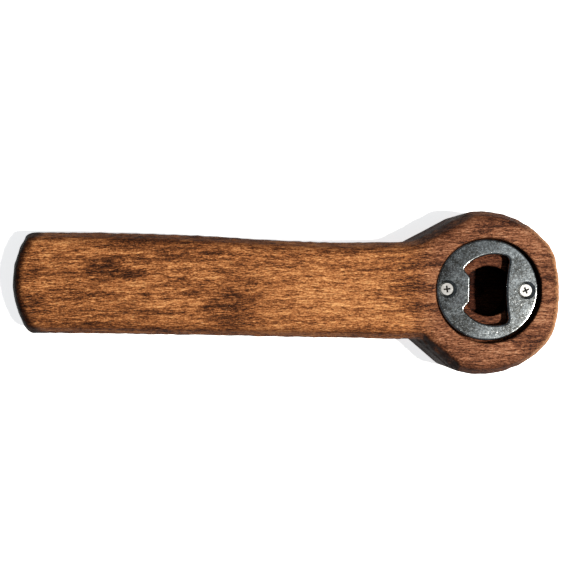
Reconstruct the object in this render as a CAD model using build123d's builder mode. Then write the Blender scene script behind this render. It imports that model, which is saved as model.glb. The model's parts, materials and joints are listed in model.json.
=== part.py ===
"""Wooden souvenir bottle opener: a hand-cut hardwood paddle with a steel opener plate let into its head.

The opener lies on its back. +X runs along the handle towards the head, +Z is up through the plate,
and the origin is on the underside, in the middle of the overall length and width.
Four pieces: the wooden body, the opener plate and two countersunk wood screws.
"""

from build123d import *
from math import cos, radians, sin, sqrt
import os

# Driving dimensions, in millimetres and degrees. First the wooden body
overall_length = 218.8
board_thickness = 19.0
head_radius = 32.7
head_crown = (93.4, 28.9)
head_end_corner = (107.0, 16.6)
head_end_corner_radius = 14.0
bevel_width = 2.7
bevel_depth = 4.6
bevel_face_radius = 1.4
bevel_wall_radius = 5.0
back_roundover = 2.0

# Neck flanks, as distances from the head's centre. The saw leaned outwards, so the back is wider there
upper_flank_distances = {"back": 32.3, "face": 30.2}
lower_flank_distances = {"back": 31.6, "face": 29.8}
upper_flank_angle = 28.0
lower_flank_angle = 41.0
upper_neck_radius = 9.0
lower_neck_radius = 2.5
shoulder_radius = 6.0

# Handle edges, cut by hand: height at the neck, a middle point, a crown towards the end and the end corner
upper_neck_height = 20.5
upper_middle = (-12.0, 21.5)
upper_crown = (-61.0, 23.8)
upper_corner = (-102.9, 24.2)
lower_neck_height = 18.8
lower_middle = (-12.0, -17.6)
lower_crown = (-61.0, -16.8)
lower_corner = (-102.9, -16.3)
end_crown_height = 4.2
end_corner_radius = 3.4

# Seat and pocket, drilled into the face
seat_centre = (79.5, 0.7)
seat_radius = 20.65
seat_depth = 3.3
pocket_centre = (80.5, 0.6)
pocket_radius = 10.0
pocket_depth = 12.3
drill_point_radius = 1.5
drill_point_tip_radius = 0.3
drill_point_depth = 1.6

# Opener plate
plate_centre = (79.0, 1.1)
plate_turn = -1.0
plate_radius = 20.0
plate_thickness = 3.0
plate_rim_radius = 0.9
mouth_rim_radius = 0.8
plate_back_radius = 0.3

# Mouth of the plate, for the half above the plate's own X axis
lip_edge = -6.7
lip_half_width = 4.8
ear_tip = (-9.2, 7.96)
mouth_crown = (3.0, 13.9)
fulcrum_corner = (9.0, 12.7)
fulcrum_edge = 7.6
lip_corner_radius = 0.9
ear_radius = 1.2
fulcrum_corner_radius = 2.4

# Countersunk wood screws, 2.5 x 12
screw_spacing = 31.0
screw_length = 12.0
head_rim = 0.15
screw_head_radius = 2.35
shank_radius = 1.05
shank_length = 1.5
thread_radius = 1.25
core_radius = 0.85
point_length = 2.6
thread_pitch = 1.1
thread_root_radius = 0.3
thread_root_width = 0.86
thread_crest_width = 0.12
thread_fade = 0.4
thread_tip_gap = 0.7
recess_span = 2.7
recess_width = 0.7
recess_depth = 1.0
recess_taper = 15.0
countersink_radius = 3.55
countersink_angle = 90.0
plate_hole_radius = 1.6
pilot_radius = 0.9
pilot_depth = 8.5
screw_turns = {"screw_handle_side": 8.0, "screw_tip_side": 24.0}

# Edges this near to a height are taken to lie at it
position_tolerance = 0.01

# Worked out from the dimensions above
half_length = overall_length / 2
head_centre_x = half_length - head_radius
bevel_height = board_thickness - bevel_depth
seat_floor = board_thickness - seat_depth
pocket_floor = board_thickness - pocket_depth
plate_top = seat_floor + plate_thickness
# Head and countersink are both cones of 90 degrees, so the head sinks by the difference of their radii
screw_top = plate_top - (countersink_radius - screw_head_radius) + head_rim
cone_length = screw_head_radius - shank_radius
thread_start = head_rim + cone_length + shank_length


def plate_plane(height):
    """The plate's own plane at a height: on its centre, with its X axis through both screws."""
    turn = radians(plate_turn)
    return Plane(origin=(*plate_centre, height), x_dir=(cos(turn), sin(turn), 0), z_dir=(0, 0, 1))


def screw_places(height):
    """One place for each screw, on the plate's X axis, in the order of screw_turns."""
    plane = plate_plane(height)
    return [
        plane * Location((side * screw_spacing / 2, 0, 0), (0, 0, turn))
        for side, turn in zip((-1, 1), screw_turns.values())
    ]


def flank(distance, angle, edge_height):
    """A straight neck flank above the X axis, as its end on the head's circle and its end on the handle."""
    slope = Vector(cos(radians(angle)), sin(radians(angle)))
    foot = Vector(head_centre_x, 0) + Vector(-slope.Y, slope.X) * distance
    head_end = foot + slope * sqrt(head_radius**2 - distance**2)
    handle_end = foot - slope * ((foot.Y - edge_height) / slope.Y)
    return head_end, handle_end


def body_outline(height, side):
    """The outline of the body's back or face, as a sketch at the given height."""
    upper_head, upper_neck = flank(upper_flank_distances[side], upper_flank_angle, upper_neck_height)
    lower_head, lower_neck = [
        Vector(end.X, -end.Y)
        for end in flank(lower_flank_distances[side], lower_flank_angle, lower_neck_height)
    ]
    lower_end_corner = (head_end_corner[0], -head_end_corner[1])
    rounded_corners = [
        (upper_head, shoulder_radius),
        (upper_neck, upper_neck_radius),
        (lower_head, shoulder_radius),
        (lower_neck, lower_neck_radius),
        (upper_corner, end_corner_radius),
        (lower_corner, end_corner_radius),
        (head_end_corner, head_end_corner_radius),
        (lower_end_corner, head_end_corner_radius),
    ]
    with BuildSketch(Plane.XY.offset(height)) as outline:
        with BuildLine():
            # Head, clockwise from its upper flank
            ThreePointArc(upper_head, head_crown, head_end_corner)
            ThreePointArc(head_end_corner, (half_length, 0), lower_end_corner)
            ThreePointArc(lower_end_corner, (head_crown[0], -head_crown[1]), lower_head)
            Line(lower_head, lower_neck)
            # Handle, along its lower edge, round the end and back along its upper edge
            lower_far_edge = ThreePointArc(lower_corner, lower_crown, lower_middle)
            TangentArc(lower_middle, lower_neck, tangent=lower_far_edge % 1)
            ThreePointArc(lower_corner, (-half_length, end_crown_height), upper_corner)
            upper_far_edge = ThreePointArc(upper_corner, upper_crown, upper_middle)
            TangentArc(upper_middle, upper_neck, tangent=upper_far_edge % 1)
            Line(upper_neck, upper_head)
        make_face()
        for corner, radius in rounded_corners:
            fillet(outline.vertices().sort_by_distance(corner)[0], radius)
    return outline.sketch


def make_wood_body():
    """The wooden board, with the plate's seat, the cap pocket and two pilot holes."""
    back = body_outline(0, "back")
    bevel_foot = body_outline(bevel_height, "face")
    with BuildSketch(Plane.XY.offset(board_thickness)) as face:
        add(body_outline(0, "face"))
        offset(amount=-bevel_width, kind=Kind.INTERSECTION)
    with BuildPart() as wood_body:
        loft([back, bevel_foot], ruled=True)
        loft([bevel_foot, face.sketch], ruled=True)

        # The edges are worn round: both sides of the steep bevel, then the back
        fillet(wood_body.faces().sort_by(Axis.Z)[-1].edges(), bevel_face_radius)
        bevel_edges = wood_body.edges().filter_by_position(
            Axis.Z, bevel_height - position_tolerance, bevel_height + position_tolerance
        )
        fillet(bevel_edges, bevel_wall_radius)
        fillet(wood_body.faces().sort_by(Axis.Z)[0].edges(), back_roundover)

        # Forstner bits cut the seat and the pocket, and the bit's point marks the pocket's floor
        with Locations((*seat_centre, board_thickness)):
            Hole(seat_radius, seat_depth)
        with Locations((*pocket_centre, board_thickness)):
            Hole(pocket_radius, pocket_depth)
        with Locations((*pocket_centre, pocket_floor - drill_point_depth)):
            Cone(
                drill_point_tip_radius,
                drill_point_radius,
                drill_point_depth,
                align=(Align.CENTER, Align.CENTER, Align.MIN),
                mode=Mode.SUBTRACT,
            )
        with Locations(*screw_places(seat_floor)):
            Hole(pilot_radius, pilot_depth)
    return wood_body.part


def make_opener_plate():
    """The round steel plate: a D-shaped mouth, whose lip is on the handle's side, between two screw holes."""
    rounded_corners = [
        ((lip_edge, lip_half_width), lip_corner_radius),
        (ear_tip, ear_radius),
        (fulcrum_corner, fulcrum_corner_radius),
    ]
    with BuildPart() as plate:
        with BuildSketch(plate_plane(seat_floor)):
            Circle(plate_radius)
        extrude(amount=plate_thickness)
        with BuildSketch(plate_plane(seat_floor)) as mouth:
            with BuildLine():
                Polyline((lip_edge, 0), (lip_edge, lip_half_width), ear_tip)
                ThreePointArc(ear_tip, mouth_crown, fulcrum_corner)
                mirror(about=Plane.XZ)
                ThreePointArc(fulcrum_corner, (fulcrum_edge, 0), (fulcrum_corner[0], -fulcrum_corner[1]))
            make_face()
            for (x, y), radius in rounded_corners:
                for side in (-1, 1):
                    fillet(mouth.vertices().sort_by_distance((x, side * y))[0], radius)
        extrude(amount=plate_thickness, mode=Mode.SUBTRACT)

        # Pressing rounds the edges on the face and leaves a small break on the back
        fillet(plate.faces().sort_by(Axis.Z)[-1].outer_wire().edges(), plate_rim_radius)
        fillet(plate.faces().sort_by(Axis.Z)[-1].inner_wires()[0].edges(), mouth_rim_radius)
        fillet(plate.faces().sort_by(Axis.Z)[0].edges(), plate_back_radius)
        with Locations(*screw_places(plate_top)):
            CounterSinkHole(plate_hole_radius, countersink_radius, counter_sink_angle=countersink_angle)
    return plate.part


def make_screw(place):
    """One countersunk wood screw with a cross recess, its head's top centred on the given place."""
    thread_end = thread_tip_gap - screw_length
    point_start = point_length - screw_length
    with BuildPart() as thread:
        with BuildLine():
            spiral = Helix(thread_pitch, -thread_start - thread_end, thread_radius, (0, 0, thread_end))
        with BuildSketch(Plane(spiral @ 0, x_dir=(1, 0, 0), z_dir=spiral % 0)):
            with BuildLine():
                Polyline(
                    (0, -thread_crest_width / 2),
                    (0, thread_crest_width / 2),
                    (thread_root_radius - thread_radius, thread_root_width / 2),
                    (thread_root_radius - thread_radius, -thread_root_width / 2),
                    close=True,
                )
            make_face()
        sweep(path=spiral, is_frenet=True)
        # The thread fades out at both ends
        with BuildSketch(Plane.XZ):
            with BuildLine():
                Polyline(
                    (0, -thread_start),
                    (core_radius, -thread_start),
                    (thread_radius, -thread_start - thread_fade),
                    (thread_radius, point_start),
                    (0, -screw_length),
                    close=True,
                )
            make_face()
        revolve(axis=Axis.Z, mode=Mode.INTERSECT)

    with BuildPart() as blank:
        with BuildSketch(Plane.XZ):
            with BuildLine():
                Polyline(
                    (0, 0),
                    (screw_head_radius, 0),
                    (screw_head_radius, -head_rim),
                    (shank_radius, -head_rim - cone_length),
                    (shank_radius, shank_radius - core_radius - thread_start),
                    (core_radius, -thread_start),
                    (core_radius, point_start),
                    (0, -screw_length),
                    close=True,
                )
            make_face()
        revolve(axis=Axis.Z)
        add(thread.part)
        with BuildSketch():
            Rectangle(recess_span, recess_width)
            Rectangle(recess_width, recess_span)
        extrude(amount=-recess_depth, taper=recess_taper, mode=Mode.SUBTRACT)

    with BuildPart() as screw:
        with Locations(place):
            add(blank.part)
    return screw.part


def save(part, name):
    """Label a finished piece and write it as its own STEP file."""
    part.label = name
    export_step(part, f"parts/{name}.step")


os.makedirs("parts", exist_ok=True)
save(make_wood_body(), "wood_body")
save(make_opener_plate(), "opener_plate")
for screw_name, screw_place in zip(screw_turns, screw_places(screw_top)):
    save(make_screw(screw_place), screw_name)
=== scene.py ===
# Bottle opener: a worn hardwood paddle with a pressed steel plate and two screws
import bpy
import json
from math import radians, sin, cos
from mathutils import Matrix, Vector, kdtree

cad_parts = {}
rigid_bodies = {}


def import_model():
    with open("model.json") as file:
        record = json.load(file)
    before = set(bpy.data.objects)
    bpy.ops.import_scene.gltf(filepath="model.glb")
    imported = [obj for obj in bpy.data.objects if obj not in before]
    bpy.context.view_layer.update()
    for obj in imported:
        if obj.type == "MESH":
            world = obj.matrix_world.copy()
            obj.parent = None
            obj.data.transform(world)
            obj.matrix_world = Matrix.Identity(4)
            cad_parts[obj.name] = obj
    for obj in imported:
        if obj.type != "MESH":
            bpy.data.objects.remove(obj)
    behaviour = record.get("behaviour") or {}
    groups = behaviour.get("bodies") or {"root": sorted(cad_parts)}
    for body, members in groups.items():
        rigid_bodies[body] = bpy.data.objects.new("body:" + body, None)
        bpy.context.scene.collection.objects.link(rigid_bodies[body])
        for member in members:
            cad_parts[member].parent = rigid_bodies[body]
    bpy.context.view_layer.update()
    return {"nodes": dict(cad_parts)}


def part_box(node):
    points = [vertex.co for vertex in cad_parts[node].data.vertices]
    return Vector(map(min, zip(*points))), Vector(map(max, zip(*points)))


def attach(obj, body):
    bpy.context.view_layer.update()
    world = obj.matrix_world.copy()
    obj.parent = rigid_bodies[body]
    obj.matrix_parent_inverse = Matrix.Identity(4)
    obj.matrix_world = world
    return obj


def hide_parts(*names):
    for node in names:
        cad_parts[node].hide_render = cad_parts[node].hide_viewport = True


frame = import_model()
nodes = frame["nodes"]
mm = 0.001
print("frame loaded:", ", ".join(sorted(nodes)))


class Wire:
    # one output socket; Python's operators add Math nodes to its tree
    def __init__(self, tree, socket=None):
        self.tree = tree
        self.socket = socket

    def add(self, kind, settings=None, sockets=None, output=0):
        made = self.tree.nodes.new(kind)
        for name, value in (settings or {}).items():
            if name == "stops":
                ramp = made.color_ramp.elements
                while len(ramp) < len(value):
                    ramp.new(0.5)
                for stop, (place, colour) in zip(ramp, value):
                    stop.position = place
                    stop.color = (*colour, 1)
            else:
                setattr(made, name, value)
        for name, value in (sockets or {}).items():
            if isinstance(value, Wire):
                self.tree.links.new(value.socket, made.inputs[name])
            else:
                made.inputs[name].default_value = value
        return Wire(self.tree, made.outputs[output] if made.outputs else None)

    def math(self, operation, *values):
        return self.add("ShaderNodeMath", {"operation": operation}, dict(enumerate(values)))

    def __add__(self, other):
        return self.math("ADD", self, other)

    def __radd__(self, other):
        return self.math("ADD", other, self)

    def __sub__(self, other):
        return self.math("SUBTRACT", self, other)

    def __rsub__(self, other):
        return self.math("SUBTRACT", other, self)

    def __mul__(self, other):
        return self.math("MULTIPLY", self, other)

    def __rmul__(self, other):
        return self.math("MULTIPLY", other, self)

    def __truediv__(self, other):
        return self.math("DIVIDE", self, other)

    def __rtruediv__(self, other):
        return self.math("DIVIDE", other, self)

    def __pow__(self, other):
        return self.math("POWER", self, other)

    def __rpow__(self, other):
        return self.math("POWER", other, self)

    def __neg__(self):
        return self.math("SUBTRACT", 0, self)

    def __abs__(self):
        return self.math("ABSOLUTE", self)

    def between(self, low, high):
        # 0 below low, 1 above high, smooth in the middle
        return self.add("ShaderNodeMapRange", {"interpolation_type": "SMOOTHSTEP"},
                        {"Value": self, "From Min": low, "From Max": high})

    def noise(self, stretch, detail, roughness=0.55, shift=(0, 0, 0)):
        # stretch is in cycles per millimetre along each axis
        placed = self.add("ShaderNodeMapping", None, {"Vector": self, "Scale": stretch, "Location": shift})
        return self.add("ShaderNodeTexNoise", None,
                        {"Vector": placed, "Scale": 1.0, "Detail": detail, "Roughness": roughness})

    def mixed(self, other, factor, blend="MIX"):
        # this colour, and the other one laid over it by the factor; 6 and 7 are the Mix node's two colours
        made = self.tree.nodes.new("ShaderNodeMix")
        made.data_type = "RGBA"
        made.blend_type = blend
        for place, value in ((0, factor), (6, self), (7, other)):
            if isinstance(value, Wire):
                self.tree.links.new(value.socket, made.inputs[place])
            else:
                made.inputs[place].default_value = (*value, 1)
        return Wire(self.tree, made.outputs[2])

    def tinted(self, colour, factor):
        return self.mixed(colour, factor, "MULTIPLY")


def startMaterial(name):
    # an empty material, the wire that adds nodes to its tree, and the place on the piece in millimetres
    material = bpy.data.materials.new(name)
    material.use_nodes = True
    tree = material.node_tree
    tree.nodes.clear()
    root = Wire(tree)
    place = root.add("ShaderNodeTexCoord", output=3)
    place = root.add("ShaderNodeVectorMath", {"operation": "SCALE"}, {0: place, "Scale": 1 / mm})
    return material, root, place


def finishMaterial(root, sockets):
    shader = root.add("ShaderNodeBsdfPrincipled", None, sockets)
    root.add("ShaderNodeOutputMaterial", None, {"Surface": shader})


def axes(root, vector):
    return [root.add("ShaderNodeSeparateXYZ", None, {0: vector}, output=number) for number in range(3)]


def distance(x, y, centre):
    return ((x - centre[0]) ** 2.0 + (y - centre[1]) ** 2.0) ** 0.5


woodLook = {
    "darkest": (0.012, 0.0045, 0.0025),
    "dark": (0.068, 0.022, 0.008),
    "middle": (0.225, 0.074, 0.022),
    "light": (0.475, 0.190, 0.064),
    "palest": (0.720, 0.380, 0.150),
    "contrast": 2.35,
    "toneShift": -0.83,
    "roughness": 0.74,
    "specular": 0.06,
    "reliefDepth": 0.4 * mm,
    # share of each layer of grain in the tone
    "shares": {"dashes": 0.42, "fibres": 0.34, "streaks": 0.30, "grit": 0.24, "bands": 0.22, "clouds": 0.14},
    "headTint": (0.66, 0.68, 0.98),
    "headBetween": (46, 62),
    "paleBetween": (-20, 12, 34, 52),      # the palest length of the handle: fades in, then out
    "paleLift": 0.05,
    "farBetween": (-75, -25),              # the duller length towards the handle's end
    "farDrop": 0.02,
    # painted shade on the band where the faces turn down and along the face's rim
    "edgeShadeTint": (0.46, 0.42, 0.38),
    "rimShadeTint": (0.62, 0.58, 0.56),
    # painted shade on the upright walls
    "wallShadeTint": (0.42, 0.31, 0.24),
    # end grain: darker stain, plus painted shade on the side turned from the lamp
    "endGrainAndShadeTint": (0.19, 0.14, 0.11),
    # painted shade: a dark band along the handle's end
    "endBandShadeTint": (0.12, 0.09, 0.07),
    # paler side of the tip: partly wear, partly painted light where it faces the lamp
    "wornAndLitColour": (0.50, 0.235, 0.10),
    "wornAndLitBetween": (86, 100),
    "wornAndLitHeights": (11.5, 16.0),
    # painted shade inside the seat and in the pocket
    "seatShadeTint": (0.50, 0.42, 0.40),
    "pocketShadeTint": (0.42, 0.31, 0.27),
    "poreColour": (0.016, 0.007, 0.005),
    "speckColour": (0.75, 0.55, 0.36),
    "seatCentre": (79.5, 0.7),
    "seatEdge": (20.2, 20.6),
    "seatHeights": (17.5, 18.9),
    "pocketHeights": (13.5, 15.6),
    "endCentre": (-74.6, 4.0),             # centre of the arc that ends the handle
    "endBand": (27.8, 30.8),               # distances from it where the painted dark band begins and is full
    "endFade": (-100, -88),
    "patchDepth": 0.20,
    "patches": (  # dark stain: x, y, half length, half width, strength
        (-67, 12, 12, 2.6, 0.75), (-62, 6.5, 9, 2.2, 0.7), (-72, 9, 8, 1.8, 0.5), (-58, 19, 16, 3.0, 0.7),
        (-30, 0, 13, 2.6, 0.55), (-22, -4, 10, 2.4, 0.6), (-36, 13, 12, 2.2, 0.5), (-18, -11, 14, 2.6, 0.6),
        (-68, -12, 10, 2.2, 0.55), (-40, -7, 12, 2.0, 0.4), (84, 27, 11, 3.0, 0.6), (96, -20, 9, 4.0, 0.5),
        (48, 5, 7, 3.0, 0.4), (50, 0, 5, 8.0, 0.25), (-100, -3, 6, 3.0, 0.45), (-98, 8, 5, 2.0, 0.3)),
}


def woodFigure(root, place):
    # the layers of the grain by name; it wanders a little along the board
    x, y, z = axes(root, place)
    sway = place.noise((0.016, 0.05, 0.05), 1.0) - 0.5
    ripple = place.noise((0.10, 0.25, 0.25), 2.0, shift=(7, 3, 1)) - 0.5
    across = y + sway * 4.5 + ripple * 0.35
    grain = root.add("ShaderNodeCombineXYZ", None, {0: x, 1: across, 2: z + sway * 4.0})
    return {
        "across": across,
        "dashes": grain.noise((0.34, 3.0, 3.0), 3.0, 0.66),
        "fibres": grain.noise((0.75, 7.0, 7.0), 2.0, 0.60, (6, 4, 2)),
        "streaks": grain.noise((0.12, 1.05, 1.05), 3.0, 0.60, (3, 9, 4)),
        "bands": grain.noise((0.035, 0.22, 0.22), 3.0, 0.55, (11, 2, 5)),
        "clouds": place.noise((0.018, 0.055, 0.055), 2.0, shift=(5, 8, 2)),
        "grit": place.noise((1.5, 2.6, 2.6), 2.0, 0.60, (2, 7, 5)),
        "fray": grain.noise((0.20, 1.2, 1.2), 4.0, 0.65, (2, 6, 9)) - 0.5,
        "pores": grain.noise((0.55, 5.5, 5.5), 2.0, 0.60, (1, 5, 3)).between(0.58, 0.68),
        "specks": place.noise((2.3, 4.0, 4.0), 1.0, shift=(4, 4, 4)).between(0.745, 0.80),
    }


def woodTone(look, figure, x):
    # how light the stain is, about 0.5 in the middle
    tone = look["toneShift"]
    for layer, share in look["shares"].items():
        tone = figure[layer] * share + tone
    fadeInStart, fadeInEnd, fadeOutStart, fadeOutEnd = look["paleBetween"]
    paleLength = x.between(fadeInStart, fadeInEnd) * (1 - x.between(fadeOutStart, fadeOutEnd))
    farLength = 1 - x.between(*look["farBetween"])
    tone = tone * look["contrast"] + 0.5 + paleLength * look["paleLift"] - farLength * look["farDrop"]
    # stain patches with frayed ends
    for patchX, patchY, halfLength, halfWidth, strength in look["patches"]:
        away = ((x - patchX) / halfLength) ** 2.0 + ((figure["across"] - patchY) / halfWidth) ** 2.0
        patch = 1 - (away + figure["fray"] * 3.4).between(0.1, 1.7)
        tone = tone - patch * (look["patchDepth"] * strength)
    return tone


def faceColour(root, look, figure, x):
    # the stain's own colours, a redder, duller head, open pores and pale specks
    colour = root.add("ShaderNodeValToRGB", {"stops": [
        (0.16, look["darkest"]), (0.34, look["dark"]), (0.50, look["middle"]),
        (0.66, look["light"]), (0.88, look["palest"])]}, {"Fac": woodTone(look, figure, x)})
    colour = colour.tinted(look["headTint"], x.between(*look["headBetween"]))
    colour = colour.mixed(look["poreColour"], figure["pores"] * 0.5)
    return colour.mixed(look["speckColour"], figure["specks"] * 0.6)


def edgedColour(root, look, figure, colour, x, y, z):
    # painted shade: a darker band where the faces turn down and along the face's rim, darker walls, end grain
    # and handle's end band (the end grain also takes more stain); the tip's pale side is partly wear and
    # partly painted light
    fray = figure["fray"]
    along, _, lift = axes(root, root.add("ShaderNodeTexCoord", output=1))    # parts of the normal
    turned = 1 - (lift + fray * 0.22).between(0.70, 1.0)
    upright = 1 - (abs(lift) + fray * 0.2).between(0.15, 0.55)
    facingHandleEnd = (-along).between(0.25, 0.60)
    nearEdge = root.add("ShaderNodeAttribute", {"attribute_name": "edgeNearness"}, output=2)
    nearEdge = (nearEdge + fray * 0.9).between(0.25, 1.0)
    # painted shade: a dark band along the handle's end
    endBand = (distance(x, y, look["endCentre"]) + fray * 2.2).between(*look["endBand"])
    endBand = endBand * (1 - x.between(*look["endFade"]))
    # partly wear, partly painted light on the tip's side that faces the lamp
    wornAndLitRim = (along + fray * 0.9).between(0.20, 0.70) * x.between(*look["wornAndLitBetween"])
    wornAndLitRim = wornAndLitRim * (z + fray * 6.0).between(*look["wornAndLitHeights"]) * (figure["streaks"] * 1.1 - 0.05)
    # painted shade on the turned-down band and along the face's rim
    colour = colour.tinted(look["edgeShadeTint"], turned * 0.85).tinted(look["rimShadeTint"], nearEdge)
    # painted shade on the upright walls, and darker stain with painted shade on the end grain
    colour = colour.tinted(look["wallShadeTint"], upright).tinted(look["endGrainAndShadeTint"], facingHandleEnd)
    return colour.tinted(look["endBandShadeTint"], endBand).mixed(look["wornAndLitColour"], wornAndLitRim)


def holeShadeColour(look, colour, x, y, z):
    # painted shade: darker inside the seat, and darker again in the pocket
    inside = 1 - distance(x, y, look["seatCentre"]).between(*look["seatEdge"])
    inside = inside * (1 - z.between(*look["seatHeights"]))
    deep = inside * (1 - z.between(*look["pocketHeights"]))
    return colour.tinted(look["seatShadeTint"], inside).tinted(look["pocketShadeTint"], deep)


def woodMaterial():
    look = woodLook
    material, root, place = startMaterial("stainedWood")
    x, y, z = axes(root, place)
    figure = woodFigure(root, place)
    colour = faceColour(root, look, figure, x)
    colour = edgedColour(root, look, figure, colour, x, y, z)
    colour = holeShadeColour(look, colour, x, y, z)
    # relief: grain ridges, fibres and open pores
    relief = figure["dashes"] * 0.50 + figure["streaks"] * 0.25 + figure["fibres"] * 0.20
    relief = relief - figure["pores"] * 0.5
    bump = root.add("ShaderNodeBump", None,
                    {"Strength": 0.8, "Distance": look["reliefDepth"], "Height": relief})
    rough = look["roughness"] - figure["dashes"] * 0.16 + figure["pores"] * 0.12
    finishMaterial(root, {"Base Color": colour, "Roughness": rough, "Normal": bump,
                          "Specular IOR Level": look["specular"]})
    return material


bodySettings = {
    "voxel": 0.60 * mm,
    "merge": 0.002 * mm,
    "relax": 4,
    # size, depth and share pressed inwards: uneven rasping, wear along the face's edge, torn grain
    "handWork": (24 * mm, 0.36 * mm, 0.52),
    "arrisWear": (3.0 * mm, 0.65 * mm, 0.50),
    "tearOut": (1.7 * mm, 0.85 * mm, 0.90),
    # the rest is in millimetres
    "tearPlace": (46, 68, -33, -16),      # where the grain is torn: x from and to, y from and to
    "seatGuard": 21.6,                    # nothing is worn this near to the seat's centre, above its floor
    "seatGuardFloor": 4.0,
    "backGuard": 0.6,                     # nor this near to the back
    "arrisFloor": 12.0,                   # the face's edge is what turns away above this height
    "arrisTurn": (0.35, 0.95),            # how far up the normal points where the edge begins and ends
    "rimReach": 4.2,                      # how far in the face's rim is rubbed down
    "rimDrop": 0.60,
    "rimBetween": (14.5, 19.0),           # the heights where this fades in
}


def useModifier(piece, kind, name, settings):
    made = piece.modifiers.new(name, kind)
    for setting, value in settings.items():
        setattr(made, setting, value)
    bpy.ops.object.modifier_apply(modifier=name)


def pressIn(piece, name, group):
    # works a soft random relief into the piece where the group says
    size, depth, inwards = bodySettings[name]
    texture = bpy.data.textures.new(name, "CLOUDS")
    texture.noise_scale = size
    texture.noise_depth = 2
    useModifier(piece, "DISPLACE", name, {
        "texture": texture, "texture_coords": "LOCAL", "vertex_group": group,
        "strength": depth, "mid_level": inwards})


def remeshedCopy(name, node):
    # a copy of a CAD node's mesh with an even skin, selected and active
    bpy.ops.object.select_all(action="DESELECT")
    piece = bpy.data.objects.new(name, nodes[node].data.copy())
    bpy.context.scene.collection.objects.link(piece)
    bpy.context.view_layer.objects.active = piece
    piece.select_set(True)
    bpy.ops.object.mode_set(mode="EDIT")
    bpy.ops.mesh.select_all(action="SELECT")
    bpy.ops.mesh.remove_doubles(threshold=bodySettings["merge"])
    bpy.ops.object.mode_set(mode="OBJECT")
    useModifier(piece, "REMESH", "remesh", {
        "mode": "VOXEL", "voxel_size": bodySettings["voxel"], "use_smooth_shade": True})
    return piece


def groupPoints(piece):
    # vertex groups for the outside, the face's edge and the torn neck
    outside, arris, torn = [piece.vertex_groups.new(name=name) for name in ("outside", "arris", "torn")]
    xLow, xHigh, yLow, yHigh = bodySettings["tearPlace"]
    turnLow, turnHigh = bodySettings["arrisTurn"]
    for point in piece.data.vertices:
        x, y, z = (number / mm for number in point.co)
        inSeat = distance(x, y, woodLook["seatCentre"]) < bodySettings["seatGuard"]
        if inSeat and z > bodySettings["seatGuardFloor"]:
            continue
        turned = 1 - min(1.0, max(0.0, (point.normal.z - turnLow) / (turnHigh - turnLow)))
        if z > bodySettings["backGuard"]:
            outside.add([point.index], 1.0, "REPLACE")
        if z > bodySettings["arrisFloor"] and turned > 0.02:
            arris.add([point.index], turned, "REPLACE")
            if xLow < x < xHigh and yLow < y < yHigh:
                torn.add([point.index], turned, "REPLACE")
    return arris


def rubRim(piece, arris):
    # lowers the face towards its rim, and keeps each point's nearness to the rim for the material
    rimPoints = [point for point in piece.data.vertices
                 if arris.index in [held.group for held in point.groups]]
    rim = kdtree.KDTree(len(rimPoints))
    for point in rimPoints:
        rim.insert(point.co, point.index)
    rim.balance()
    nearness = piece.data.attributes.new("edgeNearness", "FLOAT", "POINT")
    lowest, highest = bodySettings["rimBetween"]
    for point in piece.data.vertices:
        away = rim.find(point.co)[2] / mm
        near = max(0.0, 1 - away / bodySettings["rimReach"])
        nearness.data[point.index].value = near
        height = min(1.0, max(0.0, (point.co.z / mm - lowest) / (highest - lowest)))
        point.co.z -= near ** 2 * height * bodySettings["rimDrop"] * mm


def keepInside(piece, node):
    # nothing stands proud of the board
    low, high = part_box(node)
    for point in piece.data.vertices:
        point.co = [min(max(number, least), most) for number, least, most in zip(point.co, low, high)]


def makeWornBody():
    piece = remeshedCopy("worn_body", "wood_body")
    rubRim(piece, groupPoints(piece))
    pressIn(piece, "handWork", "outside")
    pressIn(piece, "arrisWear", "arris")
    pressIn(piece, "tearOut", "torn")
    useModifier(piece, "SMOOTH", "relax", {
        "factor": 0.5, "iterations": bodySettings["relax"], "vertex_group": "outside"})
    keepInside(piece, "wood_body")
    bpy.ops.object.shade_smooth()
    piece.data.materials.clear()
    piece.data.materials.append(stainedWood)
    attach(piece, "root")
    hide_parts("wood_body")
    print("worn body:", len(piece.data.polygons), "faces")


steelLook = {
    "bright": (0.90, 0.92, 0.90),
    "colour": (0.44, 0.475, 0.48),
    "dull": (0.12, 0.115, 0.10),
    # colour of the painted shade in the recess and the countersinks
    "hollowShade": (0.45, 0.42, 0.38),
    "hollowShadeBetween": (16.6, 18.0),    # heights, in millimetres, where the painted shade is full and where there is none
    # the clouding is shifted so its lighter part lies towards the plate's right: painted reflection over a
    # random clouding
    "cloudShift": (6.3, 1.7, 0.0),
    "metallic": 1.0,
    "roughness": 0.09,
    "tumble": 0.08,                 # how much the speckle roughens it
}


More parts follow.
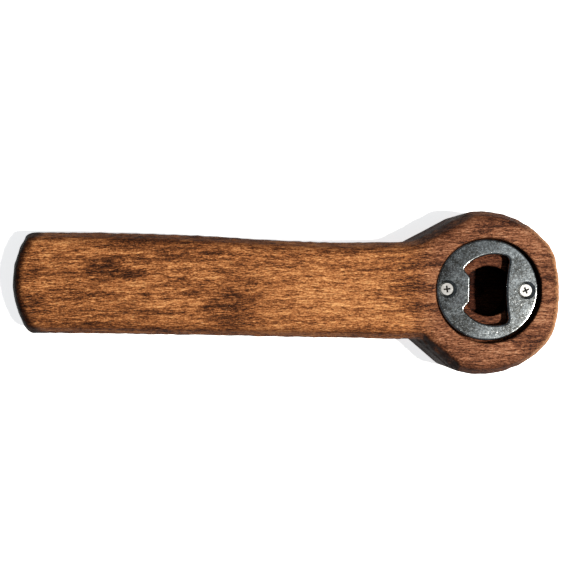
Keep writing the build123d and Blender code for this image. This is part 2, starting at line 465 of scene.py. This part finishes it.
def steelMaterial(name, look):
    # tumbled metal: clouded and speckled, with bright glints, scratches both ways and pits
    material, root, place = startMaterial(name)
    z = axes(root, place)[2]
    cloud = place.noise((0.13, 0.13, 0.13), 3.0, 0.60, look["cloudShift"])
    speckle = place.noise((1.3, 1.3, 1.3), 4.0, 0.78, (3, 1, 0))
    glints = place.noise((1.9, 1.9, 1.9), 2.0, 0.60, (9, 2, 6)).between(0.60, 0.70)
    lengthways = place.noise((0.5, 6.0, 1.0), 2.0, shift=(1, 7, 0)).between(0.60, 0.70)
    crossways = place.noise((6.0, 0.6, 1.0), 2.0, shift=(8, 2, 0)).between(0.62, 0.72)
    pits = place.noise((5.0, 5.0, 5.0), 1.0, shift=(5, 5, 5)).between(0.66, 0.76)
    marks = (lengthways + crossways) * 0.5 + pits * 0.6
    colour = root.add("ShaderNodeValToRGB", {"stops": [(0.38, look["dull"]), (0.60, look["colour"])]},
                      {"Fac": cloud * 0.55 + speckle * 0.70 - pits * 0.12 - 0.125})
    colour = colour.mixed(look["bright"], glints * 0.80)
    shadedHollow = 1 - z.between(*look["hollowShadeBetween"])    # painted shade, darker below these heights: in the recess and the countersinks, and in the screws' cross recesses
    colour = colour.tinted(look["hollowShade"], shadedHollow)
    rough = look["roughness"] + speckle * look["tumble"] + cloud * 0.06 + marks * 0.10
    relief = speckle * 0.8 + marks * 0.6
    bump = root.add("ShaderNodeBump", None, {"Strength": 0.5, "Distance": 0.012 * mm, "Height": relief})
    finishMaterial(root, {"Base Color": colour, "Roughness": rough, "Normal": bump,
                          "Metallic": look["metallic"]})
    return material


screwLook = {
    "bright": (0.98, 0.97, 0.94),
    "colour": (0.92, 0.90, 0.85),
    "dull": (0.76, 0.74, 0.70),
    # painted shade in the screw head's cross recess
    "hollowShade": (0.12, 0.11, 0.10),
    "hollowShadeBetween": (17.20, 17.60),
    "cloudShift": (0.0, 0.0, 0.0),
    "metallic": 0.70,    # zinc has a whitish bloom
    "roughness": 0.10,
    "tumble": 0.08,
}

stainedWood = woodMaterial()
plateSteel = steelMaterial("tumbledSteel", steelLook)
screwSteel = steelMaterial("brightZinc", screwLook)
for node, finish in (("wood_body", stainedWood), ("opener_plate", plateSteel),
                     ("screw_handle_side", screwSteel), ("screw_tip_side", screwSteel)):
    for cadSlot in nodes[node].material_slots:
        cadSlot.material = finish
print("materials made")
makeWornBody()


studio = {
    "floorSize": 6.0, "floorDrop": 0.0002, "floorTone": 0.92, "floorGlow": 0.75,
    "sunPower": 168.0, "sunSize": (0.16, 0.16), "sunAzimuth": -12, "sunHeight": 50, "sunAway": 3.0,
    "sunColour": (1.0, 0.96, 0.90), "sunTarget": (0.0, 0.0, 0.01),
    "skyPower": 0.45, "skySize": (0.5, 0.9), "skyAzimuth": 0, "skyHeight": 48, "skyAway": 1.0,
    "skyColour": (0.80, 0.90, 1.0), "skyTarget": (0.08, 0.0, 0.019),
    "worldColour": (0.80, 0.88, 1.0), "worldStrength": 0.12, "backdrop": (0.90, 0.91, 0.92),
    "cameraPlace": (0.0016, 0.0002, 0.239), "lens": 34.63, "sensor": 36, "clipStart": 0.005,
}


def makeFloor():
    bpy.ops.object.select_all(action="DESELECT")
    bpy.ops.mesh.primitive_plane_add(size=studio["floorSize"], location=(0, 0, -studio["floorDrop"]))
    floor = bpy.context.object
    floor.name = "floor"
    material, root, place = startMaterial("paleFloor")
    tone = place.noise((0.01, 0.01, 0.01), 2.0) * 0.02 + studio["floorTone"]
    colour = root.add("ShaderNodeCombineColor", None, {0: tone, 1: tone, 2: tone})
    finishMaterial(root, {"Base Color": colour, "Roughness": 0.9, "Emission Color": (1, 1, 1, 1),
                          "Emission Strength": studio["floorGlow"]})
    floor.data.materials.append(material)


def makeCard(kind):
    # an area light on a sphere about its target, facing it
    azimuth, height = radians(studio[kind + "Azimuth"]), radians(studio[kind + "Height"])
    towards = Vector((cos(height) * cos(azimuth), cos(height) * sin(azimuth), sin(height)))
    light = bpy.data.lights.new(kind + "Card", "AREA")
    light.shape = "RECTANGLE"
    light.size, light.size_y = studio[kind + "Size"]
    light.energy = studio[kind + "Power"]
    light.color = studio[kind + "Colour"]
    made = bpy.data.objects.new(kind + "Card", light)
    made.location = Vector(studio[kind + "Target"]) + towards * studio[kind + "Away"]
    made.rotation_euler = towards.to_track_quat("Z", "Y").to_euler()
    bpy.context.scene.collection.objects.link(made)


def makeAir():
    # a dim bluish surround, and a pale backdrop that only the camera sees
    world = bpy.data.worlds.new("studioAir")
    world.use_nodes = True
    world.node_tree.nodes.clear()
    air = Wire(world.node_tree)
    glow = air.add("ShaderNodeBackground", None, {0: (*studio["worldColour"], 1), 1: studio["worldStrength"]})
    backdrop = air.add("ShaderNodeBackground", None, {0: (*studio["backdrop"], 1), 1: 1.0})
    seen = air.add("ShaderNodeLightPath", output=0)
    both = air.add("ShaderNodeMixShader", None, {0: seen, 1: glow, 2: backdrop})
    air.add("ShaderNodeOutputWorld", None, {0: both})
    bpy.context.scene.world = world


def makeCamera():
    camera = bpy.data.objects.new("camera", bpy.data.cameras.new("camera"))
    camera.location = studio["cameraPlace"]
    camera.data.lens = studio["lens"]
    camera.data.sensor_width = studio["sensor"]
    camera.data.clip_start = studio["clipStart"]
    bpy.context.scene.collection.objects.link(camera)
    bpy.context.scene.camera = camera
    bpy.context.scene.view_settings.view_transform = "Standard"


makeFloor()
makeCard("sun")
makeCard("sky")
makeAir()
makeCamera()
print("studio set")
